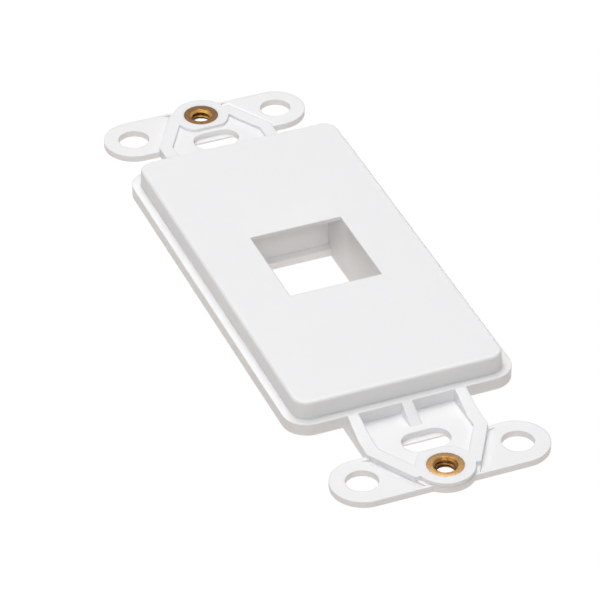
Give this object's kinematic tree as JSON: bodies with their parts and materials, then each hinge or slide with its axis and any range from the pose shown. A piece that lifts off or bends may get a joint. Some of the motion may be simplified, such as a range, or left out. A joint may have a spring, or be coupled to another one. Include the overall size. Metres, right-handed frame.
{
  "type": "wall plate insert",
  "caption": "Moulded wall plate insert with a square jack port, a raised rectangular face and slotted ears that carry brass threaded inserts.",
  "frame": {"origin": "middle of the insert, level with the back of the jack housing that it rests on", "axes": "+X across the wall, +Y up the wall along the strap, +Z out of the wall through the face"},
  "size_m": [0.0352, 0.1056, 0.0097],
  "materials": {
    "white_plastic": "smooth moulded white plastic",
    "insert_brass": "turned brass"
  },
  "bodies": {
    "root": {"insert_body": "white_plastic", "upper_threaded_insert": "insert_brass", "lower_threaded_insert": "insert_brass"}
  },
  "joints": []
}
